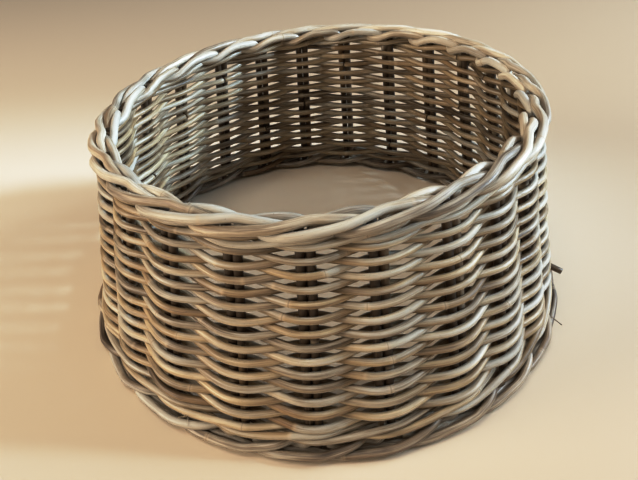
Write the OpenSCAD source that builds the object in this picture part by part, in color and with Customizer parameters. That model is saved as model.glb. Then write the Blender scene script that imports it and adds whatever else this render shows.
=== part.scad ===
// Bottomless rattan ring basket, after a cane pet bed surround.
// Upright stakes stand in pairs. Weaving rods run in front of one pair and behind the next,
// in rows of two that take turns, with a three-rod wale above and below. One rod of each pair turns over
// at the rim and the other at the foot, and is plaited into the border.
// The origin is on the floor at the middle of the foot ring, with the front towards -Y.

/* [Body] */
// Outer diameter over the foot border
foot_d = 582; // [500:1:660]
// Outer diameter over the rim border
rim_d = 487; // [420:1:560]
// Height over the rim border, midway between its low and high side
height = 245; // [241:1:249]
// How much higher the rim stands at the +X side than at the -X side
rim_lean = 22; // [0:1:30]

/* [Stakes] */
// Diameter of the stake rods, which also make both borders
stake_d = 8.5; // [8.2:0.1:8.6]
// Angle of the first stake pair from the front, towards +X
first_stake = -3; // [-7:0.5:7]
// How far the stakes at the back have crept round, in degrees
stake_creep = 3.6; // [0:0.1:5]

/* [Weaving] */
// Diameter of the weaving rods in the lowest row
low_weaver_d = 7.6; // [7.4:0.1:7.7]
// Diameter of the weaving rods in the highest row
high_weaver_d = 6.4; // [6.2:0.1:6.5]
// Height of the lowest weaving rod
first_row = 37.2; // [37:0.1:38]

/* [Hidden] */
stakes = 24;                // pairs round the ring, one every spacing degrees before the creep
rows = 13;
spacing = 360 / stakes;
sides = 5;                  // flats round a rod
half_pair = stake_d / 2 + 0.2;
slack = 0.1;                // room left where one rod passes over another
wrap = 0.09;                // half of a weaver's straight stretch over a stake pair, in intervals
wale_wrap = 0.17;           // and half of a wale rod's
end_gap = 0.02;             // from a weaver's cut end to the stake it hides behind, in intervals

// How far stakes stand from their even places: the stake's number, then degrees.
// The stakes between two of these lie evenly between them.
stake_drift = [
    [0, 0],
    [1, -0.4],
    [2, 1.6],
    [4, 1.3],
    [7, 0],
    [9, -2],
    [10, -2],
    [12, -0.5],
    [13, -0.6],
    [15, -2],
    [18, 0],
    [20, -0.5],
    [21.5, -1.6],
    [23, 0],
    [24, 0]
];

// One border rod's run, seen in the border's section: how many stake intervals it has gone,
// then out from the border's middle and up from it. It lies over the inside for one interval,
// dives under its neighbours to the outside, climbs over them and is tucked in behind.
border_run = [
    [0.12, -3.4, -1],
    [0.2, -5, 1.2],
    [0.35, -7.8, 2.6],
    [0.55, -10.2, 3.6],
    [0.75, -11.4, 3.2],
    [0.9, -11.8, 1.2],
    [1.04, -11.6, -2],
    [1.16, -10.4, -4.8],
    [1.3, -6, -6.4],
    [1.5, 3, -6],
    [1.75, 8, -3],
    [2, 9.5, 0],
    [2.5, 7.6, 3.8],
    [2.8, 3.6, 5.8],
    [3.1, -1.6, 6.6],
    [3.35, -1, 6],
    [3.6, -2, 3],
    [3.8, -3.5, -1]
];
border_reach = 9.5;         // the run's farthest point out from the border's middle
border_top = 6.6;           // and away from the wall
foot_flatten = 0.8;         // the foot border is pressed this much flatter
rim_step_in = 3.4;          // stakes enter this far inside the border's middle
foot_step_in = 4;
border_entry = 14;          // a stake is straight until this far from the middle

foot_z = border_top * foot_flatten + stake_d / 2;
rim_z = height - border_top - stake_d / 2;
foot_wall_r = (foot_d - stake_d) / 2 - border_reach - foot_step_in;
rim_wall_r = (rim_d - stake_d) / 2 - border_reach - rim_step_in;

// Rods thin out evenly from the lowest row to the highest, and each rod rests on the last
function row_d(row) = low_weaver_d + (high_weaver_d - low_weaver_d) * row / (rows - 1);
function row_z(row) = row == 0
    ? first_row
    : row_z(row - 1) + 1.5 * row_d(row - 1) + 0.5 * row_d(row) + slack;
function weaver_z(row, s) = row_z(row) + s * (row_d(row) + slack / 2);
foot_wale_d = 7.4;
rim_wale_d = high_weaver_d;
foot_wale_z = first_row - low_weaver_d / 2 - foot_wale_d - slack;
rim_wale_z = weaver_z(rows - 1, 1) + high_weaver_d / 2 + rim_wale_d + slack;

function two(n) = n < 10 ? str("0", n) : str(n);
function letter(n) = ["a", "b", "c"][n];
function pair_name(k) = str("stake_pair_", two(k + 1));
function weaver_name(row, s) = str("weaver_", two(row + 1), "_", letter(s));

pair_names = [for (k = [0:stakes - 1]) pair_name(k)];
weaver_names = [for (row = [0:rows - 1], s = [0:1]) weaver_name(row, s)];
foot_wale_names = [for (s = [0:2]) str("foot_wale_", letter(s))];
rim_wale_names = [for (s = [0:2]) str("rim_wale_", letter(s))];

// ---- Places on the wall ----

// Radius of the wall's middle at height z
function wall_r(z) = foot_wall_r + (rim_wall_r - foot_wall_r) * (z - foot_z) / (rim_z - foot_z);

// Angle of stake position u, which may fall between stakes
function stake_angle(u) =
    let (even = first_stake + spacing * u)
    even - stake_creep * (1 - cos(even)) + lookup((u + stakes) % stakes, stake_drift);

// Point at angle a, radius r and height z, with the rim's lean put in
function at(a, r, z) =
    let (x = r * sin(a))
    [x, -r * cos(a), z * (1 + rim_lean * x / (rim_d * height))];

// Point at stake position u, out from the wall's middle, moved sideways along the wall
function on_wall(u, out, z, along = 0) =
    let (r = wall_r(z) + out)
    at(stake_angle(u) + along / r * 180 / PI, r, z);

// ---- Rod paths ----

// Distance of a weaving rod's middle from the wall's middle, in front of or behind a stake
function weave_out(d) = (stake_d + d) / 2 + slack;

// Half the height between two rods of a wale where they cross
function weave_rise(d) = (d + slack) / 2;

// Weaving stretch at stake k, reaching as far as given to both sides of the pair: it goes over
// the pair on one side of the wall, low or high by so many rises before the pair and after it
function over_stake(k, reach, side, low, high, z, d) = [
    on_wall(k - reach, side * weave_out(d), z + low * weave_rise(d)),
    on_wall(k + reach, side * weave_out(d), z + high * weave_rise(d))
];

// First two and last two points of a weaving rod, whose ends are cut behind stake k.
// It leaves its start this much lower than it lies there, and comes in to its end as much higher.
function first_end(k, reach, z, d, climb) = [
    on_wall(k + end_gap, -weave_out(d), z),
    on_wall(k + reach, -weave_out(d), z - climb)
];
function last_end(k, reach, z, d, climb) = [
    on_wall(k - reach, -weave_out(d), z + climb),
    on_wall(k - end_gap, -weave_out(d), z)
];

function joined(lists) = [for (l = lists, p = l) p];

// Two-rod row: rod s is in front of every other pair, and behind the rest, at one height
function weaver_path(row, s) =
    let (
        z = weaver_z(row, s),
        d = row_d(row),
        start = 1 - s + 2 * ((5 * row + 4 * s) % (stakes / 2))
    )
    concat(
        first_end(start, wrap, z, d, 0),
        joined([
            for (k = [start + 1:start + stakes - 1])
                let (side = (k + s) % 2 == 0 ? 1 : -1)
                over_stake(k, wrap, side, 0, 0, z, d)
        ]),
        last_end(start + stakes, wrap, z, d, 0)
    );

// Three-rod wale: rod s is in front of two pairs, then behind one
function wale_path(z, d, s) =
    let (start = s + 2 + 3 * ((3 * s + round(z)) % (stakes / 3)))
    concat(
        first_end(start, wale_wrap, z, d, weave_rise(d)),
        joined([
            for (k = [start + 1:start + stakes - 1])
                let (turn = (k - s) % 3)
                turn == 0 ? over_stake(k, wale_wrap, 1, -1, -1, z, d)
                : turn == 1 ? over_stake(k, wale_wrap, 1, 1, 1, z, d)
                : over_stake(k, wale_wrap, -1, 1, -1, z, d)
        ]),
        last_end(start + stakes, wale_wrap, z, d, weave_rise(d))
    );

// Stake k of one border: dir is 1 for the rim, where it turns towards +X at the front,
// and -1 for the foot, where the same run is turned over
function stake_path(k, dir) =
    let (
        z_end = dir > 0 ? rim_z : foot_z,
        flatten = dir > 0 ? 1 : foot_flatten,
        middle = wall_r(z_end) + (dir > 0 ? rim_step_in : foot_step_in),
        z_plain = dir > 0 ? foot_z : rim_z,
        z_entry = z_end - dir * border_entry
    )
    concat(
        [
            on_wall(k, 0, z_plain, dir * half_pair),
            on_wall(k, 0, z_entry, dir * half_pair)
        ],
        [
            for (p = border_run)
                at(stake_angle(k + dir * p[0]), middle + p[1], z_end + dir * flatten * p[2])
        ]
    );

// ---- Rods ----

function unit(v) = v / norm(v);

// Round rod along a path: a ring of corners square to the path at each point
module rod(path, d) {
    last = len(path) - 1;
    corners = [
        for (i = [0:last])
            let (
                ahead = unit(path[min(i + 1, last)] - path[max(i - 1, 0)]),
                outward = unit([path[i].x, path[i].y, 0]),
                across = unit(cross(outward, ahead)),
                up = cross(across, ahead)
            )
            for (j = [0:sides - 1])
                path[i] + d / 2 * (across * cos(j * 360 / sides) + up * sin(j * 360 / sides))
    ];
    skin = [
        for (i = [0:last - 1], j = [0:sides - 1])
            let (
                a = i * sides + j,
                b = i * sides + (j + 1) % sides
            )
            each [[a, b, b + sides], [a, b + sides, a + sides]]
    ];
    start_cap = [[for (j = [0:sides - 1]) sides - 1 - j]];
    end_cap = [[for (j = [0:sides - 1]) last * sides + j]];
    polyhedron(corners, concat(skin, start_cap, end_cap));
}

// Stake pair k: the rod that turns into the rim border, and the one that turns into the foot border
module stake_pair(k) {
    color("#8d7355") {
        rod(stake_path(k, 1), stake_d);
        rod(stake_path(k, -1), stake_d);
    }
}

module weaver(row, s) {
    color(s == 0 ? "#a48b6c" : "#97805f") rod(weaver_path(row, s), row_d(row));
}

module wale(z, d, s) {
    color("#ad9678") rod(wale_path(z, d, s), d);
}

for (k = [0:stakes - 1]) {
    stake_pair(k);
}
for (row = [0:rows - 1], s = [0:1]) {
    weaver(row, s);
}
for (s = [0:2]) {
    wale(foot_wale_z, foot_wale_d, s);
    wale(rim_wale_z, rim_wale_d, s);
}
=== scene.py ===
"""Bottomless rattan ring basket: every rod of the weave as its own detailed piece.

The rods follow the same rules as the CAD part, in metres. A rod is a list of points along its
middle, swept into a tube with joints, small swellings, cut ends and its own tone of cane.
"""
import math

import bpy
import numpy as np
from mathutils import Matrix, Vector


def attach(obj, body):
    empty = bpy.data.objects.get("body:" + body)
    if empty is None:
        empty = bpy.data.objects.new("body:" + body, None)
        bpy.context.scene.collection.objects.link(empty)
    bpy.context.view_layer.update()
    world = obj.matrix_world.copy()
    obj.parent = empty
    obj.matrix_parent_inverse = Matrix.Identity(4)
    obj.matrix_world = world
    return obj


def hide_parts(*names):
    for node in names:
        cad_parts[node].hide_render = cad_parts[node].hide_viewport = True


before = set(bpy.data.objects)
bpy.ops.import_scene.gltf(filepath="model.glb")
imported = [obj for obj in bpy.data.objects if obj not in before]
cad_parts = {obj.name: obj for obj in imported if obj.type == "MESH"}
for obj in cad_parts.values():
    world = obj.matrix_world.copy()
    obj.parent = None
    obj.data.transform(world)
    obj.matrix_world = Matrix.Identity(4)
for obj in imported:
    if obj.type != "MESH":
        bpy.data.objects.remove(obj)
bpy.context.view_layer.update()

# ---- Sizes, as in the CAD part, in metres and degrees ----

STAKES = 24
ROWS = 13
SPACING = 360 / STAKES
FOOT_R = 0.291
RIM_R = 0.2435
HEIGHT = 0.245
RIM_LEAN = 0.022
FIRST_STAKE = -3
STAKE_CREEP = 3.6
STAKE_D = 0.0085
LOW_WEAVER_D = 0.0076
HIGH_WEAVER_D = 0.0064
FIRST_ROW = 0.0372
SLACK = 0.0001
PAIR_GAP = 0.0004
FOOT_WALE_D = 0.0074
RIM_WALE_D = HIGH_WEAVER_D
BORDER_REACH = 0.0095
BORDER_TOP = 0.0066
FOOT_FLATTEN = 0.8
RIM_STEP_IN = 0.0034
FOOT_STEP_IN = 0.004
BORDER_ENTRY = 0.014     # a stake is straight until this far from the border's middle
END_GAP = 0.02           # from a weaver's cut end to the stake it hides behind, in intervals

FOOT_Z = BORDER_TOP * FOOT_FLATTEN + STAKE_D / 2
RIM_Z = HEIGHT - BORDER_TOP - STAKE_D / 2
FOOT_WALL_R = FOOT_R - STAKE_D / 2 - BORDER_REACH - FOOT_STEP_IN
RIM_WALL_R = RIM_R - STAKE_D / 2 - BORDER_REACH - RIM_STEP_IN

# A border rod's run in the border's section: stake intervals gone, then out and up, in mm
BORDER_RUN = [
    (0.12, -3.4, -1),
    (0.2, -5, 1.2),
    (0.35, -7.8, 2.6),
    (0.55, -10.2, 3.6),
    (0.75, -11.4, 3.2),
    (0.9, -11.8, 1.2),
    (1.04, -11.6, -2),
    (1.16, -10.4, -4.8),
    (1.3, -6, -6.4),
    (1.5, 3, -6),
    (1.75, 8, -3),
    (2, 9.5, 0),
    (2.5, 7.6, 3.8),
    (2.8, 3.6, 5.8),
    (3.1, -1.6, 6.6),
    (3.35, -1, 6),
    (3.6, -2, 3),
    (3.8, -3.5, -1),
]

# How far stakes stand from their even places: the stake's number, then degrees
STAKE_DRIFT = [
    (0, 0),
    (1, -0.4),
    (2, 1.6),
    (4, 1.3),
    (7, 0),
    (9, -2),
    (10, -2),
    (12, -0.5),
    (13, -0.6),
    (15, -2),
    (18, 0),
    (20, -0.5),
    (21.5, -1.6),
    (23, 0),
    (24, 0),
]

# How finely a rod is swept
RING_STEP = 0.0045
SIDES = 12
PATH_STEPS = 20          # points per stake interval before the rod is evened out
STRAIGHT_POINTS = 5      # points up a stake's straight part
FLAT = 0.14              # half of a weaver's flat stretch over a stake pair, in stake intervals
KNUCKLE = 7              # how sharply it bends at the ends of that stretch

# Cane
JOINT_EVERY = 0.19       # metres from one joint of the cane to the next
JOINT_REACH = 0.02       # the shader's joint marks fade out within this
DARK_STAKE_LENGTH = 0.215        # length of a stake, up from its plain end, that is darker: partly its own darker cane, partly painted shade from the weave over it
STAKE_DARKENING = 0.58     # and how much darker it is
WEATHER_AND_SHADE = 0.05         # how much paler weavers and wales are where they stand out of the wall, and darker in behind: partly grey weathering, partly painted light and shade
WARM_SHIFT = 3           # and how much greyer for each step paler
WEAVER_TONE = 0.44       # lightness of the weavers, and of the other rods in the same way
FOOT_STAKE_TONE = 0.36
RIM_STAKE_TONE = 0.6
FOOT_WALE_TONE = 0.38
RIM_WALE_TONE = 0.54
PAINTED_RIM_LIGHT = 0.05        # painted light and shade: rim stakes are up to this much paler at the front and right, and darker at the back and left

# Cut rods and splinters standing out of the weave: each runs from one place to another, given
# as stake position, distance out from the wall's middle and height, then diameter and lightness
LOOSE_ENDS = [
    ("cut_stub", (5.2, 0.002, 0.053), (5.12, 0.0225, 0.048), 0.0074, 0.24),
    ("splinter", (4.52, 0.013, 0.016), (4.48, 0.0245, 0.011), 0.0012, 0.2),
    ("fibre_1", (-1.72, 0.012, 0.024), (-1.66, 0.020, 0.031), 0.0009, 0.85),
    ("fibre_2", (-1.70, 0.012, 0.023), (-1.74, 0.021, 0.029), 0.0008, 0.8),
    ("fibre_3", (-1.68, 0.012, 0.022), (-1.60, 0.020, 0.024), 0.0008, 0.8),
]

rng = np.random.default_rng(20)


# ---- Places on the wall ----

def wall_r(z):
    return FOOT_WALL_R + (RIM_WALL_R - FOOT_WALL_R) * (z - FOOT_Z) / (RIM_Z - FOOT_Z)


def row_d(row):
    """Rods thin out from the lowest row to the highest."""
    return LOW_WEAVER_D + (HIGH_WEAVER_D - LOW_WEAVER_D) * row / (ROWS - 1)


def weaver_z(row, s):
    """Each rod rests on the last."""
    row_z = FIRST_ROW + sum(1.5 * row_d(i) + 0.5 * row_d(i + 1) + SLACK for i in range(row))
    return row_z + s * (row_d(row) + SLACK / 2)


def weave_out(d):
    return (STAKE_D + d) / 2 + SLACK


def weave_rise(d):
    return (d + SLACK) / 2


def stake_angle(u):
    even = FIRST_STAKE + SPACING * u
    drift = np.interp(u % STAKES, *zip(*STAKE_DRIFT))
    return even - STAKE_CREEP * (1 - math.cos(math.radians(even))) + drift


def settle(p):
    """Hand-woven unevenness, the same for every rod that passes a place, which keeps their spacing."""
    x, y, z = p
    a = math.atan2(x, -y)
    share = z / HEIGHT
    out = 0.0016 * math.sin(2 * a + 0.7) + 0.0010 * math.sin(5 * a + 7 * share + 2.0) * share
    up = 0.0009 * math.sin(4 * a + 9 * share + 1.0) + 0.0006 * math.sin(9 * a - 14 * share)
    up *= min(1.0, share * 5) * min(1.0, (1.1 - share) * 4)
    out += 0.002 * max(0.0, math.sin(a)) * (1 - 2 * share)
    r = math.hypot(x, y)
    return (x * (1 + out / r), y * (1 + out / r), z + up)


def at(a, r, z):
    a = math.radians(a)
    x = r * math.sin(a)
    y = -r * math.cos(a)
    return settle((x, y, z * (1 + RIM_LEAN * x / (2 * RIM_R * HEIGHT))))


def on_wall(u, out, z, along=0.0):
    r = wall_r(z) + out
    return at(stake_angle(u) + math.degrees(along / r), r, z)


# ---- Curves ----

def spline(points, per_span):
    """Catmull-Rom curve through the points, with per_span steps between each two."""
    pts = np.array(points, float)
    pts = np.vstack([2 * pts[0] - pts[1], pts, 2 * pts[-1] - pts[-2]])
    t = np.linspace(0, 1, per_span, endpoint=False)[:, None]
    runs = []
    for a, b, c, d in zip(pts[:-3], pts[1:-2], pts[2:-1], pts[3:]):
        runs.append(0.5 * (2 * b + (c - a) * t + (2 * a - 5 * b + 4 * c - d) * t**2
                           + (3 * b - a - 3 * c + d) * t**3))
    return np.vstack(runs + [pts[-2][None]])


def steady(keys, u):
    """Smooth value at u through (u, value, ...) keys, with no overshoot between them."""
    xs = [k[0] for k in keys]
    i = min(max(np.searchsorted(xs, u) - 1, 0), len(keys) - 2)
    t = min(max((u - xs[i]) / (xs[i + 1] - xs[i]), 0), 1)
    span = xs[i + 1] - xs[i]
    values = []
    for c in range(1, len(keys[0])):
        ys = [k[c] for k in keys]

        def slope(j):
            if j <= 0 or j >= len(keys) - 1:
                n = min(max(j, 0), len(keys) - 2)
                return (ys[n + 1] - ys[n]) / (xs[n + 1] - xs[n])
            before = (ys[j] - ys[j - 1]) / (xs[j] - xs[j - 1])
            after = (ys[j + 1] - ys[j]) / (xs[j + 1] - xs[j])
            return 0.0 if before * after <= 0 else 2 * before * after / (before + after)

        m0, m1 = slope(i) * span, slope(i + 1) * span
        values.append((2 * t**3 - 3 * t**2 + 1) * ys[i] + (t**3 - 2 * t**2 + t) * m0
                      + (3 * t**2 - 2 * t**3) * ys[i + 1] + (t**3 - t**2) * m1)
    return values


# ---- Rod paths ----

FOOT_WALE_Z = FIRST_ROW - LOW_WEAVER_D / 2 - FOOT_WALE_D - SLACK
RIM_WALE_Z = weaver_z(ROWS - 1, 1) + HIGH_WEAVER_D / 2 + RIM_WALE_D + SLACK


def over_and_under(u):
    """A weaver's run through the wall: 1 in front of a stake pair, -1 behind the next."""
    ramp, top = ((0.5 - gone) / (0.5 - FLAT) for gone in (abs((u + 1) % 2 - 1), 0))
    return ramp / top * ((1 + top ** KNUCKLE) / (1 + abs(ramp) ** KNUCKLE)) ** (1 / KNUCKLE)


def weaver_points(row, s):
    """Two-rod row: rod s is in front of every other pair, and behind the rest, at one height."""
    z = weaver_z(row, s)
    d = row_d(row)
    start = 1 - s + 2 * ((5 * row + 4 * s) % (STAKES // 2)) + END_GAP
    steps = STAKES * PATH_STEPS
    reach = rng.uniform(0.95, 1.05, STAKES)
    sink = rng.normal(0, 0.0004, STAKES)
    points = []
    for i in range(steps + 1):
        u = start + (STAKES - 2 * END_GAP) * i / steps
        near = int(round(u)) % STAKES
        out = weave_out(d) * reach[near] * over_and_under(u - s)
        rise = sink[near] * abs(math.cos(math.pi * (u - s)))
        points.append(on_wall(u, out, z + rise))
    return points


# A wale rod's turn over three stake pairs: pairs gone, then how far out and how far up it is
WALE_TURN = [(0, 1, -1), (1, 1, 1), (1.5, 0, 1), (2, -1, 0), (2.5, 0, -1), (3, 1, -1)]


def wale_points(z, d, s):
    """Three-rod wale: rod s is in front of two pairs, then behind one."""
    start = s + 2 + 3 * ((3 * s + round(z * 1000)) % (STAKES // 3)) + END_GAP
    keys = [(k[0] - 3, k[1], k[2]) for k in WALE_TURN[:-1]] + WALE_TURN
    keys += [(k[0] + 3, k[1], k[2]) for k in WALE_TURN[1:]]
    steps = STAKES * PATH_STEPS
    points = []
    for i in range(steps + 1):
        u = start + (STAKES - 2 * END_GAP) * i / steps
        out, rise = steady(keys, (u - s) % 3)
        points.append(on_wall(u, weave_out(d) * out, z + weave_rise(d) * rise))
    return points


def stake_points(k, way):
    """A stake: straight up the wall, then plaited into the rim (way 1) or the foot (way -1)."""
    z_end = RIM_Z if way > 0 else FOOT_Z
    middle = wall_r(z_end) + (RIM_STEP_IN if way > 0 else FOOT_STEP_IN)
    flatten = 1 if way > 0 else FOOT_FLATTEN
    z_plain = FOOT_Z if way > 0 else RIM_Z
    z_entry = z_end - way * BORDER_ENTRY
    sway = rng.uniform(0, PAIR_GAP, STRAIGHT_POINTS)
    points = []
    for i in range(STRAIGHT_POINTS):
        z = z_plain + (z_entry - z_plain) * i / (STRAIGHT_POINTS - 1)
        points.append(on_wall(k, 0, z, way * (STAKE_D / 2 + sway[i])))
    lift = rng.normal(0, 0.0004, len(BORDER_RUN))
    for (gone, out, up), extra in zip(BORDER_RUN, lift):
        points.append(at(stake_angle(k + way * gone), middle + out / 1000 - abs(extra),
                         z_end + way * flatten * (up / 1000 - abs(extra) / 2)))
    return [tuple(p) for p in spline(points, 8)]


# ---- Rods ----

def even_out(points, joints):
    """Stations every RING_STEP along the path, with extra ones round each joint of the cane."""
    pts = np.array(points, float)
    gone = np.concatenate([[0], np.cumsum(np.linalg.norm(np.diff(pts, axis=0), axis=1))])
    total = gone[-1]
    where = list(np.linspace(0, total, max(4, int(total / RING_STEP))))
    for j in joints:
        for off in (-0.006, -0.003, -0.0012, -0.0004, 0, 0.0004, 0.0012, 0.003, 0.006):
            if 0.001 < j + off < total - 0.001:
                where.append(j + off)
    where = np.array(sorted(where))
    keep = np.concatenate([[True], np.diff(where) > 0.00025])
    where = where[keep]
    return where, np.stack([np.interp(where, gone, pts[:, i]) for i in range(3)], axis=1), total


def smooth_noise(where, scale, seed):
    """Gentle random swing from -1 to 1 along the rod."""
    r = np.random.default_rng(seed)
    phases = r.uniform(0, 2 * math.pi, 3)
    return sum(np.sin(where / scale * f + p) for f, p in zip((1.0, 2.3, 4.1), phases)) / 3


def joint_places(total, seed):
    r = np.random.default_rng(seed)
    places = []
    here = r.uniform(0.2, 1) * JOINT_EVERY
    while here < total:
        places.append(here)
        here += JOINT_EVERY * r.uniform(0.6, 1.5)
    return places


def outwardness(mid):
    """1 where a rod stands full out in front of the wall, -1 where it is full in behind it."""
    x, y, z = mid.T
    level = z / (1 + RIM_LEAN * x / (2 * RIM_R * HEIGHT))
    return np.clip((np.hypot(x, y) - wall_r(level)) / weave_out(LOW_WEAVER_D), -1, 1)


def rod(name, points, diameter, cane, replaced, tone, cut=(0.0, 0.0), dark_start=0.0,
        weather_shade=0.0):
    """Sweeps a rod and gives it to the frame.

    tone is (light, warm). cut is how far each end's cut slants, and dark_start how much of the
    rod's start is darker, in metres: partly its own darker cane, partly painted shade from the
    weave over it. weather_shade is how much paler and greyer it is where it stands out of the
    wall, and darker where it is in behind: partly grey weathering, partly painted light and shade.
    """
    seed = int(rng.integers(1 << 30))
    rough = np.array(points, float)
    length = np.linalg.norm(np.diff(rough, axis=0), axis=1).sum()
    joints = joint_places(length, seed)
    where, mid, total = even_out(points, joints)
    n = len(where)
    ahead = np.gradient(mid, where, axis=0)
    ahead /= np.linalg.norm(ahead, axis=1)[:, None]
    outward = mid * [1, 1, 0]
    outward /= np.linalg.norm(outward, axis=1)[:, None]
    across = np.cross(ahead, outward)
    across /= np.linalg.norm(across, axis=1)[:, None]
    up = np.cross(across, ahead)

    own = np.random.default_rng(seed + 2)
    to_joint = np.full(n, 1.0)
    light = np.full(n, tone[0] + own.normal(0, 0.05))
    warm = np.full(n, tone[1])
    swell = np.zeros(n)
    for j in joints:
        past = 1 / (1 + np.exp(np.clip((j - where) / 0.0012, -50, 50)))
        light += past * (tone[0] + own.normal(0, 0.06) - light)
        warm += past * (own.uniform(0, 1) - warm)
        to_joint = np.minimum(to_joint, abs(where - j) + own.choice([0, 0.0003, 0.0008]))
        swell += own.uniform(0.02, 0.07) * np.exp(-((where - j) / 0.004) ** 2)
    # Darker start of the rod: partly its own darker cane, partly painted shade from the weave over it.
    light -= STAKE_DARKENING / (1 + np.exp(np.clip((where - dark_start) / 0.006, -50, 50))) * (dark_start > 0)
    # Paler and greyer where the rod stands out of the wall, darker in behind: partly grey weathering,
    # partly painted light and shade.
    light += weather_shade * outwardness(mid)
    warm -= WARM_SHIFT * weather_shade * outwardness(mid)
    radius = diameter / 2 * (1 + 0.045 * smooth_noise(where, 0.05, seed)) * (1 + swell)
    squash = 1 + 0.05 * smooth_noise(where, 0.08, seed + 1)
    turn = np.arange(SIDES) * 2 * math.pi / SIDES
    side = np.cos(turn)[None, :] * (radius * squash)[:, None]
    rise = np.sin(turn)[None, :] * (radius / squash)[:, None]
    ring = mid[:, None] + across[:, None] * side[..., None] + up[:, None] * rise[..., None]
    for end, slant in ((0, cut[0]), (-1, cut[1])):
        ring[end] += ahead[end] * (slant * np.sin(turn + 0.6))[:, None]
    ring[..., 2] = np.maximum(ring[..., 2], 0)

    verts = [ring.reshape(-1, 3)]
    caps = []
    for end, sign in ((0, -1), (-1, 1)):
        centre = ring[end].mean(axis=0)
        rim = centre + (ring[end] - centre) * 0.86 + ahead[end] * sign * diameter * 0.05
        caps.append(len(verts[0]) + (SIDES + 1) * len(caps))
        verts.append(rim)
        verts.append((centre + ahead[end] * sign * diameter * 0.045)[None])
    verts = np.vstack(verts)

    a = (np.arange(n - 1)[:, None] * SIDES + np.arange(SIDES)[None]).ravel()
    b = (np.arange(n - 1)[:, None] * SIDES + (np.arange(SIDES) + 1)[None] % SIDES).ravel()
    faces = np.stack([a, b, b + SIDES, a + SIDES], axis=1).tolist()
    ends = []
    for cap, first, flip in ((caps[0], 0, True), (caps[1], (n - 1) * SIDES, False)):
        for i in range(SIDES):
            j = (i + 1) % SIDES
            bevel = [first + i, first + j, cap + j, cap + i]
            face = [cap + i, cap + j, cap + SIDES]
            faces.append(bevel[::-1] if flip else bevel)
            ends.append(face[::-1] if flip else face)
    skin_faces = len(faces)
    faces += ends

    mesh = bpy.data.meshes.new(name)
    mesh.from_pydata(verts.tolist(), [], faces)
    mesh.polygons.foreach_set("use_smooth", [True] * len(faces))
    kinds = np.zeros(len(faces), int)
    kinds[skin_faces:] = 1
    mesh.polygons.foreach_set("material_index", kinds)

    shift = (seed % 997) * 0.31
    grain = np.zeros((len(verts), 3))
    grain[:n * SIDES, 0] = np.repeat(where, SIDES) + shift
    grain[:n * SIDES, 1] = side.ravel()
    grain[:n * SIDES, 2] = rise.ravel()
    grain[n * SIDES:, 0] = shift
    marks = np.zeros((len(verts), 3))
    for column, values in enumerate((light, warm)):
        marks[:n * SIDES, column] = np.repeat(values, SIDES)
        marks[n * SIDES:, column] = values[0]
    marks[:n * SIDES, 2] = np.repeat(np.minimum(to_joint, JOINT_REACH), SIDES)
    marks[n * SIDES:, 2] = JOINT_REACH
    for label, data in (("grain", grain), ("marks", marks)):
        field = mesh.attributes.new(label, "FLOAT_VECTOR", "POINT")
        field.data.foreach_set("vector", data.ravel())
    mesh.materials.append(cane)
    mesh.materials.append(CUT_CANE)
    mesh.update()

    piece = bpy.data.objects.new(name, mesh)
    bpy.context.collection.objects.link(piece)
    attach(piece, "root")
    if replaced:
        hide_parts(replaced)
    return piece


# ---- Materials ----

class Nodes:
    """Short calls for building one material's nodes."""

    def __init__(self, name):
        self.material = bpy.data.materials.new(name)
        self.material.use_nodes = True
        self.tree = self.material.node_tree
        self.tree.nodes.clear()
        self.shader = self.new("ShaderNodeBsdfPrincipled")
        out = self.new("ShaderNodeOutputMaterial")
        self.link(self.shader.outputs[0], out.inputs[0])

    def new(self, kind, **settings):
        node = self.tree.nodes.new(kind)
        for key, value in settings.items():
            setattr(node, key, value)
        return node

    def link(self, a, b):
        self.tree.links.new(a, b)

    def put(self, socket, value):
        if hasattr(value, "is_linked"):
            self.link(value, socket)
        else:
            socket.default_value = value

    def math(self, operation, a, b=0.0, clamp=False):
        node = self.new("ShaderNodeMath", operation=operation, use_clamp=clamp)
        self.put(node.inputs[0], a)
        self.put(node.inputs[1], b)
        return node.outputs[0]

    def stretch(self, value, low, high, to_low=0.0, to_high=1.0):
        node = self.new("ShaderNodeMapRange")
        for socket, number in zip(node.inputs, (value, low, high, to_low, to_high)):
            self.put(socket, number)
        return node.outputs[0]

    def scaled(self, vector, by):
        node = self.new("ShaderNodeVectorMath", operation="MULTIPLY")
        self.put(node.inputs[0], vector)
        node.inputs[1].default_value = by
        return node.outputs[0]

    def noise(self, vector, by, detail=3.0, rough=0.6):
        node = self.new("ShaderNodeTexNoise")
        self.link(self.scaled(vector, by), node.inputs["Vector"])
        node.inputs["Scale"].default_value = 1
        node.inputs["Detail"].default_value = detail
        node.inputs["Roughness"].default_value = rough
        return node.outputs["Fac"]

    def ramp(self, value, stops):
        node = self.new("ShaderNodeValToRGB")
        self.put(node.inputs[0], value)
        while len(node.color_ramp.elements) < len(stops):
            node.color_ramp.elements.new(0.5)
        for element, (place, colour) in zip(node.color_ramp.elements, stops):
            element.position = place
            element.color = (*colour, 1)
        return node.outputs[0]

    def mix(self, share, a, b, blend="MIX"):
        node = self.new("ShaderNodeMix", data_type="RGBA", blend_type=blend)
        self.put(node.inputs[0], share)
        for socket, value in ((node.inputs[6], a), (node.inputs[7], b)):
            if isinstance(value, tuple):
                value = (*value, 1)
            self.put(socket, value)
        return node.outputs[2]

    def attribute(self, name):
        node = self.new("ShaderNodeAttribute", attribute_name=name)
        return node.outputs["Vector"]

    def split(self, vector):
        node = self.new("ShaderNodeSeparateXYZ")
        self.link(vector, node.inputs[0])
        return node.outputs


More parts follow.
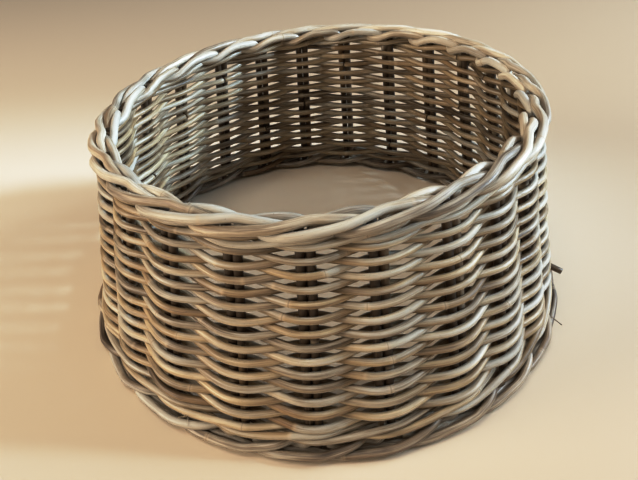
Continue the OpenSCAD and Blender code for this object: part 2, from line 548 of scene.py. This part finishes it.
def cane_material(name, stops, grey):
    """Weathered rattan. stops are its tones from dark to light, grey the wash over its pale ones."""
    m = Nodes(name)
    grain = m.attribute("grain")
    marks = m.split(m.attribute("marks"))
    tone, warmth, to_joint = marks[0], marks[1], marks[2]

    patches = m.noise(grain, (11, 60, 60), 3, 0.6)
    streaks = m.noise(grain, (16, 620, 620), 4, 0.65)
    fibres = m.noise(grain, (70, 2600, 2600), 2, 0.6)
    wash = m.noise(grain, (7, 180, 180), 2, 0.5)
    level = m.math("ADD", m.math("MULTIPLY", m.math("SUBTRACT", patches, 0.5), 1.1),
                   m.math("MULTIPLY", m.math("SUBTRACT", streaks, 0.5), 1.0))
    level = m.math("ADD", level, m.math("MULTIPLY", m.math("SUBTRACT", fibres, 0.5), 0.25))
    level = m.math("ADD", level, tone, clamp=True)
    colour = m.ramp(level, stops)

    worn = m.stretch(m.math("ADD", wash, m.math("MULTIPLY", warmth, -0.4)), 0.2, 0.5, 0.0, 0.75)
    colour = m.mix(m.math("MULTIPLY", worn, m.stretch(level, 0.2, 0.6)), colour, grey)
    tan = m.stretch(m.noise(grain, (5, 40, 40), 2, 0.5), 0.48, 0.66, 0.0, 0.45)
    colour = m.mix(m.math("MULTIPLY", tan, m.stretch(warmth, 0.35, 0.9)), colour, (0.29, 0.165, 0.07))

    specks = m.stretch(m.noise(grain, (420, 900, 900), 2, 0.7), 0.66, 0.74)
    colour = m.mix(m.math("MULTIPLY", specks, 0.55), colour, (0.09, 0.065, 0.045))
    cracks = m.stretch(m.noise(grain, (14, 1500, 1500), 3, 0.7), 0.68, 0.76)
    colour = m.mix(m.math("MULTIPLY", cracks, 0.5), colour, (0.11, 0.08, 0.055))

    band = m.stretch(to_joint, 0.0035, 0.001, 0.0, 0.4)
    colour = m.mix(band, colour, (0.52, 0.40, 0.27))
    line = m.stretch(to_joint, 0.001, 0.0003, 0.0, 0.42)
    colour = m.mix(line, colour, (0.10, 0.065, 0.04))
    m.link(colour, m.shader.inputs["Base Color"])

    m.link(m.stretch(streaks, 0.3, 0.7, 0.56, 0.36), m.shader.inputs["Roughness"])
    m.shader.inputs["Specular IOR Level"].default_value = 0.5

    height = m.math("ADD", m.math("MULTIPLY", streaks, 0.6), m.math("MULTIPLY", fibres, 0.3))
    height = m.math("SUBTRACT", height, m.math("MULTIPLY", cracks, 0.35))
    height = m.math("SUBTRACT", height, m.math("MULTIPLY", specks, 0.2))
    bump = m.new("ShaderNodeBump")
    bump.inputs["Strength"].default_value = 0.55
    bump.inputs["Distance"].default_value = 0.0006
    m.link(height, bump.inputs["Height"])
    m.link(bump.outputs[0], m.shader.inputs["Normal"])
    return m.material


def cut_material():
    """The porous end grain of a cut rod."""
    m = Nodes("cane_cut_end")
    place = m.new("ShaderNodeTexCoord").outputs["Object"]
    pores = m.noise(place, (2600, 2600, 2600), 2, 0.6)
    colour = m.ramp(pores, [(0.35, (0.05, 0.032, 0.02)), (0.55, (0.22, 0.15, 0.09)),
                            (0.75, (0.36, 0.27, 0.17))])
    m.link(colour, m.shader.inputs["Base Color"])
    m.shader.inputs["Roughness"].default_value = 0.8
    bump = m.new("ShaderNodeBump")
    bump.inputs["Strength"].default_value = 0.6
    bump.inputs["Distance"].default_value = 0.0005
    m.link(pores, bump.inputs["Height"])
    m.link(bump.outputs[0], m.shader.inputs["Normal"])
    return m.material


CUT_CANE = cut_material()
GREY_WASH = (0.43, 0.40, 0.35)
STAKE_CANE = cane_material("stake_cane", [
    (0.1, (0.055, 0.032, 0.017)), (0.38, (0.23, 0.165, 0.105)),
    (0.62, (0.46, 0.375, 0.275)), (0.95, (0.70, 0.62, 0.50))], GREY_WASH)
WEAVER_CANE = cane_material("weaver_cane", [
    (0.1, (0.06, 0.034, 0.016)), (0.38, (0.24, 0.16, 0.084)),
    (0.62, (0.42, 0.315, 0.19)), (0.95, (0.66, 0.55, 0.40))], GREY_WASH)
WALE_CANE = cane_material("wale_cane", [
    (0.1, (0.06, 0.034, 0.016)), (0.38, (0.25, 0.17, 0.09)),
    (0.62, (0.42, 0.32, 0.20)), (0.95, (0.61, 0.52, 0.39))], GREY_WASH)


# ---- Building the basket ----

def tone_of(base):
    return (float(np.clip(rng.normal(base, 0.07), 0.2, 0.85)), float(rng.uniform(0, 1)))


def build_stakes():
    for k in range(STAKES):
        node = f"stake_pair_{k + 1:02d}"
        turn = math.radians(stake_angle(k))
        # Painted light and shade: rim stakes paler towards the front and right, darker towards the back
        # and left.
        lit_rim_tone = RIM_STAKE_TONE + PAINTED_RIM_LIGHT * (math.cos(turn) + math.sin(turn))
        for way, word, light in ((1, "rim_stake", lit_rim_tone), (-1, "foot_stake", FOOT_STAKE_TONE)):
            size = STAKE_D * rng.uniform(0.98, 1.06)
            slant = (0.0, rng.uniform(0.001, 0.004))
            # A stake's stretch up the wall is darker: partly its own cane, partly painted shade from the
            # weave.
            rod(f"{word}_{k + 1:02d}", stake_points(k, way), size, STAKE_CANE,
                node, tone_of(light), slant, dark_start=DARK_STAKE_LENGTH)


def build_weavers():
    for row in range(ROWS):
        for s in range(2):
            name = f"weaver_{row + 1:02d}_{'ab'[s]}"
            size = row_d(row) * rng.uniform(1.0, 1.08)
            rod(f"{name}_rod", weaver_points(row, s), size, WEAVER_CANE,
                name, tone_of(WEAVER_TONE), weather_shade=WEATHER_AND_SHADE)


def build_wales():
    for word, z, d, tone in (("foot_wale", FOOT_WALE_Z, FOOT_WALE_D, FOOT_WALE_TONE),
                             ("rim_wale", RIM_WALE_Z, RIM_WALE_D, RIM_WALE_TONE)):
        for s in range(3):
            name = f"{word}_{'abc'[s]}"
            rod(f"{name}_rod", wale_points(z, d, s), d, WALE_CANE, name, tone_of(tone),
                weather_shade=WEATHER_AND_SHADE)


def build_loose_ends():
    for name, start, end, d, light in LOOSE_ENDS:
        places = [on_wall(*(a + (b - a) * i / 4 for a, b in zip(start, end))) for i in range(5)]
        rod(name, places, d, WEAVER_CANE, None, (light, 0.3))


build_stakes()
build_weavers()
build_wales()
build_loose_ends()


# ---- Room, light and camera ----

def plain_material(name, colour, roughness):
    m = Nodes(name)
    m.shader.inputs["Base Color"].default_value = (*colour, 1)
    m.shader.inputs["Roughness"].default_value = roughness
    return m.material


def build_floor():
    mesh = bpy.data.meshes.new("floor")
    far = 6.0
    mesh.from_pydata([(-far, -far, 0), (far, -far, 0), (far, far, 0), (-far, far, 0)], [], [(0, 1, 2, 3)])
    mesh.materials.append(plain_material("floor", (0.66, 0.54, 0.41), 0.55))
    floor = bpy.data.objects.new("floor", mesh)
    bpy.context.collection.objects.link(floor)


def place_light(light, place, target):
    lamp = bpy.data.objects.new(light.name, light)
    bpy.context.collection.objects.link(lamp)
    lamp.location = place
    lamp.rotation_euler = (Vector(target) - Vector(place)).to_track_quat("-Z", "Y").to_euler()


def area_light(name, place, target, size, power, colour):
    light = bpy.data.lights.new(name, "AREA")
    light.shape = "DISK"
    light.size = size
    light.energy = power
    light.color = colour
    place_light(light, place, target)


def build_lights():
    window = bpy.data.lights.new("window", "SPOT")
    window.energy = 1400
    window.color = (0.50, 0.75, 1.0)
    window.shadow_soft_size = 0.35
    window.spot_size = math.radians(11.5)
    window.spot_blend = 0.9
    place_light(window, (1.95, 0.05, 1.2), (-0.22, 0.1, 0.1))
    area_light("sky_light", (2.9, 0.5, 1.8), (0, 0, 0.1), 1.6, 94, (0.78, 0.89, 1.0))
    area_light("door_bounce", (-2.4, -0.7, 0.9), (0, 0, 0.1), 1.4, 55, (1.0, 0.94, 0.82))
    area_light("front_fill", (0.2, -2.6, 0.9), (0, 0, 0.05), 1.0, 13, (1.0, 0.90, 0.74))
    area_light("ceiling", (-0.4, -0.5, 2.6), (0, 0, 0.1), 1.0, 22, (1.0, 0.96, 0.88))
    world = bpy.data.worlds.new("room")
    bpy.context.scene.world = world
    world.use_nodes = True
    sky = world.node_tree.nodes["Background"]
    sky.inputs[0].default_value = (0.92, 0.88, 0.84, 1)
    sky.inputs[1].default_value = 0.16


def set_contrast():
    """A plain display view with a little more contrast, as a phone camera gives."""
    view = bpy.context.scene.view_settings
    view.view_transform = "Standard"
    view.use_curve_mapping = True
    curve = view.curve_mapping.curves[3]
    curve.points.new(0.22, 0.155)
    curve.points.new(0.70, 0.76)
    view.curve_mapping.update()


def build_camera():
    place = (0.0044, -0.6001, 0.5026)
    yaw, pitch, roll = -0.014, 0.651, -0.054
    ahead = np.array([math.sin(yaw) * math.cos(pitch), math.cos(yaw) * math.cos(pitch), -math.sin(pitch)])
    right = np.array([math.cos(yaw), -math.sin(yaw), 0.0])
    up = np.cross(right, ahead)
    right, up = (math.cos(roll) * right + math.sin(roll) * up,
                 -math.sin(roll) * right + math.cos(roll) * up)
    lens = bpy.data.cameras.new("camera")
    lens.sensor_width = 36
    lens.lens = 33.1
    lens.clip_start = 0.02
    eye = bpy.data.objects.new("camera", lens)
    bpy.context.collection.objects.link(eye)
    turn = Matrix((right, up, -ahead)).transposed()
    eye.matrix_world = Matrix.Translation(place) @ turn.to_4x4()
    bpy.context.scene.camera = eye


build_floor()
build_lights()
set_contrast()
build_camera()
